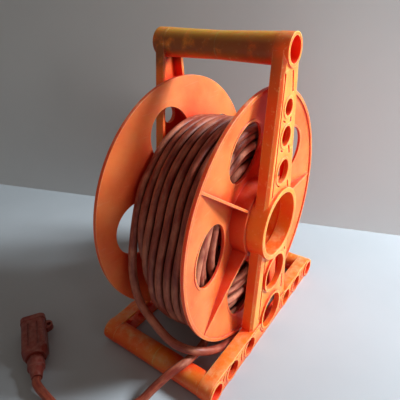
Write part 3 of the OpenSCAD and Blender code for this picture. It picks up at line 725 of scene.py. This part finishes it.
# %% The cord's vinyl
def dusty_vinyl(name, fresh, worn, dust, grime):
    """Vinyl with streaks along it, dust in patches, and painted shade in a dark colour between the
    turns, which sets them apart. Dust dulls its shine. U is the way along and V the way round, in
    metres."""
    material, tree, shader = new_material(name)
    along = put(tree, "UVMap", uv_map="UVMap")
    drawn_out = put(tree, "Mapping", {"Vector": along, "Scale": (0.12, 1, 1)})
    streaks = put(tree, "TexNoise", {"Vector": drawn_out, "Scale": per_metre(3), "Detail": 4,
                                     "Roughness": 0.55})
    dragged = put(tree, "MapRange", {"Value": streaks, "From Min": 0.38, "From Max": 0.66}, **SOFT)
    base = put(tree, "Mix", {0: dragged, 6: colour(fresh), 7: colour(worn)}, **TINT)
    # Dust in patches, with painted sunlight at the pile's sides and painted shadow near the
    # connector.
    dust_and_light_share = dust_and_painted_light(tree, along)
    base = put(tree, "Mix", {0: dust_and_light_share, 6: base, 7: colour(dust)}, **TINT)
    # Painted shade: the dark colour darkens the gaps between the turns.
    shaded_between_turns = in_recesses(tree, 7 * MM, (0.7, 0.2))
    base = coated(tree, base, [shaded_between_turns], 0.8, colour(grime))

    twisted = put(tree, "Mapping", {"Vector": along, "Scale": (1, -2.2, 1)})
    wires = put(tree, "TexWave", {"Vector": twisted, "Scale": 18, "Distortion": 0.4}, out="Fac",
                bands_direction="X", wave_profile="SIN")
    swollen = put(tree, "Bump", {"Height": wires, "Strength": 0.12, "Distance": 0.5 * MM})
    scuffed = put(tree, "Bump", {"Height": streaks, "Strength": 0.2, "Distance": 0.15 * MM,
                                 "Normal": swollen})
    dull = put(tree, "MapRange", {"Value": dust_and_light_share, "To Min": 0.42, "To Max": 0.85})
    fill(tree, shader, {"Base Color": base, "Roughness": dull, "Normal": scuffed,
                        "Specular IOR Level": 0.4})
    return material


# The grime colour paints shade between the turns. The dust colour is dust, and also painted sunlight
# at the pile's sides.
jacket = dusty_vinyl("cord_jacket_vinyl", fresh="#7C2A1E", worn="#A0442E", dust="#E29270",
                     grime="#240A06")
print("jacket:", jacket.name)


# %% [markdown]
# ## The connector
#
# The connector and its strain relief are moulded onto the cord in a harder vinyl of nearly the same
# red. They are no tubes, so their pattern reads the place in the object instead of a UV map.

# %% The connector's vinyl
def moulded_vinyl(name, fresh, worn, dust):
    """Vinyl with darker patches, paler edges, dust on top and a fine mould texture, which keeps its
    shine soft. Dust dulls it further. The texture is drawn coarser than a real one, which is too
    fine to show."""
    material, tree, shader = new_material(name)
    place = put(tree, "TexCoord", out="Object")
    normal = put(tree, "TexCoord", out="Normal")
    wear_patches = patchy(tree, place, 12, (0.35, 0.65), detail=4)
    base = put(tree, "Mix", {0: wear_patches, 6: colour(fresh), 7: colour(worn)}, **TINT)
    base = coated(tree, base, [on_edges(tree, 0.9 * MM, (0.98, 0.85))], 0.35, colour(dust))
    facing_up = along_axis(tree, normal, "Z", (0.3, 0.95))
    specks = patchy(tree, place, 5, (0.38, 0.7), detail=5)
    settled = put(tree, "Math", {0: facing_up, 1: specks}, **PRODUCT)
    base = coated(tree, base, [settled], 0.4, colour(dust))

    rounded = put(tree, "Bevel", {"Radius": 0.9 * MM}, samples=4)
    fine = put(tree, "TexNoise", {"Vector": place, "Scale": per_metre(0.7), "Detail": 2,
                                  "Roughness": 0.55})
    skin = put(tree, "Bump", {"Height": fine, "Strength": 0.25, "Distance": 0.12 * MM,
                              "Normal": rounded})
    dull = put(tree, "MapRange", {"Value": settled, "To Min": 0.38, "To Max": 0.75})
    fill(tree, shader, {"Base Color": base, "Roughness": dull, "Normal": skin})
    return material


connector_vinyl = moulded_vinyl("connector_vinyl", fresh="#7C2A20", worn="#8E3528", dust="#B8806F")
print("connector:", connector_vinyl.name)


# %% [markdown]
# ## Screws and contacts
#
# The screws are zinc-plated steel: pale, a little blue, with a fine grain. The contacts are stamped
# brass. Both are metals, so their colour is the colour of what they reflect.

# %% The metals
def plated_metal(name, bright, dull, roughness):
    """Metal with cloudy plating and a fine grain along X, which smears its reflections. The grain
    is drawn coarser than a real one, which is too fine to show."""
    material, tree, shader = new_material(name)
    place = put(tree, "TexCoord", out="Object")
    clouds = put(tree, "TexNoise", {"Vector": place, "Scale": per_metre(4), "Detail": 5,
                                    "Roughness": 0.55})
    base = put(tree, "Mix", {0: clouds, 6: colour(bright), 7: colour(dull)}, **TINT)
    drawn_out = put(tree, "Mapping", {"Vector": place, "Scale": (0.1, 1, 1)})
    lines = put(tree, "TexNoise", {"Vector": drawn_out, "Scale": per_metre(0.4), "Detail": 2,
                                   "Roughness": 0.55})
    smeared = put(tree, "MapRange", {"Value": lines, "To Min": roughness,
                                     "To Max": roughness + 0.2})
    skin = put(tree, "Bump", {"Height": lines, "Strength": 0.15, "Distance": 0.05 * MM})
    fill(tree, shader, {"Base Color": base, "Roughness": smeared, "Normal": skin, "Metallic": 1})
    return material


zinc = plated_metal("zinc_plated_steel", "#C9CBD0", "#A3A5AB", roughness=0.25)
brass = plated_metal("stamped_brass", "#D9B365", "#B98F45", roughness=0.22)
print("metals:", zinc.name, brass.name)


# %% [markdown]
# ## Every piece gets its material
#
# A moulding has one material all over, so each piece takes exactly one. What the pieces came with is
# only a stand-in, and it is cleared first.

# %% The finishes
def wear(thing, material):
    """The object's only material."""
    thing.data.materials.clear()
    thing.data.materials.append(material)


finishes = {
    "right_side_frame": frame_plastic,
    "left_side_frame": frame_plastic,
    "frame_screws": zinc,
    "right_flange": spool_plastic,
    "left_flange": spool_plastic,
    "drum_screws": zinc,
    "cord_strain_relief": connector_vinyl,
    "connector_body": connector_vinyl,
    "connector_face": connector_vinyl,
    "line_contact": brass,
    "neutral_contact": brass,
    "ground_contact": brass,
}
for name, material in finishes.items():
    wear(nodes[name], material)
wear(wound_cord, jacket)
wear(loose_end, jacket)
print("finished:", len(finishes) + 2, "pieces")


# %% [markdown]
# ## The room
#
# The reel stands on a pale floor in front of a plain wall. Seen from behind the wall nothing should
# hide the reel, so the wall lets every ray through that meets its back.

# %% Floor and wall
def flat_sheet(name, corners):
    """One flat face through its corners."""
    mesh = bpy.data.meshes.new(name)
    mesh.from_pydata(corners, [], [list(range(len(corners)))])
    made = bpy.data.objects.new(name, mesh)
    bpy.context.scene.collection.objects.link(made)
    return made


def painted(name, tint, cloud, size_mm, roughness):
    """Matt paint with faint clouds."""
    material, tree, shader = new_material(name)
    place = put(tree, "TexCoord", out="Object")
    clouds = patchy(tree, place, size_mm, (0.3, 0.7), detail=5)
    base = put(tree, "Mix", {0: clouds, 6: colour(tint), 7: colour(cloud)}, **TINT)
    fill(tree, shader, {"Base Color": base, "Roughness": roughness, "Specular IOR Level": 0.2})
    return material


def clear_from_behind(material):
    """Lets every ray through that meets the material's back."""
    tree = material.node_tree
    paint = tree.nodes["Principled BSDF"].outputs[0]
    behind = put(tree, "NewGeometry", out="Backfacing")
    clear = put(tree, "BsdfTransparent")
    one_sided = put(tree, "MixShader", {0: behind, 1: paint, 2: clear})
    fill(tree, tree.nodes["Material Output"], {"Surface": one_sided})


room = 3.0                      # how far the floor and the wall reach from the middle
wall_height = 0.8
wall_foot = Vector((-0.167, 0.190, 0))
wall_along = Vector((0.771, 0.273, 0)).normalized()
left_foot = wall_foot - room * wall_along
right_foot = wall_foot + room * wall_along
lift = Vector((0, 0, wall_height))
floor = flat_sheet("floor", [(-room, -room, 0), (room, -room, 0), (room, room, 0), (-room, room, 0)])
wall = flat_sheet("wall", [left_foot, right_foot, right_foot + lift, left_foot + lift])
floor_paint = painted("floor_paint", "#B4BABF", "#AEB4B9", size_mm=220, roughness=0.6)
wall_paint = painted("wall_paint", "#DBDCDB", "#D3D4D4", size_mm=400, roughness=0.7)
clear_from_behind(wall_paint)
wear(floor, floor_paint)
wear(wall, wall_paint)
wall.visible_shadow = False     # the lamp stands behind the wall's line, where a window would be
print("floor and wall reach", room, "m to each side")


# %% [markdown]
# ## Light
#
# The light comes at a slant from a square lamp behind the reel on the right, as from a window. Its
# shadows fall forward and to the left, with soft borders. A weak lamp brightens the wall's right
# end. The rest is a dim, warm world, which fills the shadows. Where the camera looks past the wall
# it sees that world brighter than it shines on the reel.

# %% Lamps and world
def lamp(name, aim, towards, distance, size, power, spread, tint):
    """Square lamp at a distance from its aim in a direction. Its beam is spread degrees wide."""
    data = bpy.data.lights.new(name, "AREA")
    data.size = size
    data.energy = power
    data.color = colour(tint)[:3]
    data.spread = math.radians(spread)
    made = bpy.data.objects.new(name, data)
    bpy.context.scene.collection.objects.link(made)
    direction = Vector(towards).normalized()
    made.location = Vector(aim) + distance * direction
    made.rotation_mode = "QUATERNION"
    made.rotation_quaternion = direction.to_track_quat("Z", "Y")
    made.visible_camera = False


lamp("window_lamp", aim=(0, 0, 0.16), towards=(0.671, 0.452, 0.588), distance=1.5, size=0.38,
     power=40, spread=180, tint="#EFF9FF")
lamp("wall_lamp", aim=(0.15, 0.31, 0.2), towards=(0.65, -0.39, 0.25), distance=1.1, size=0.3,
     power=0.45, spread=50, tint="#FFFFFF")

sky_on_reel = 0.18
sky_seen = 0.62
world = bpy.data.worlds.new("room_light")
world.use_nodes = True
bpy.context.scene.world = world
sky = world.node_tree
seen = put(sky, "LightPath", out="Is Camera Ray")
strength = put(sky, "MapRange", {"Value": seen, "To Min": sky_on_reel, "To Max": sky_seen})
fill(sky, sky.nodes["Background"], {"Color": colour("#FFF0E2"), "Strength": strength})
bpy.context.scene.view_settings.view_transform = "Standard"
print("lamps and world are set")


# %% [markdown]
# ## Last update
#
# The view layer is updated once more, so that every placement is current.

# %% The update
bpy.context.view_layer.update()
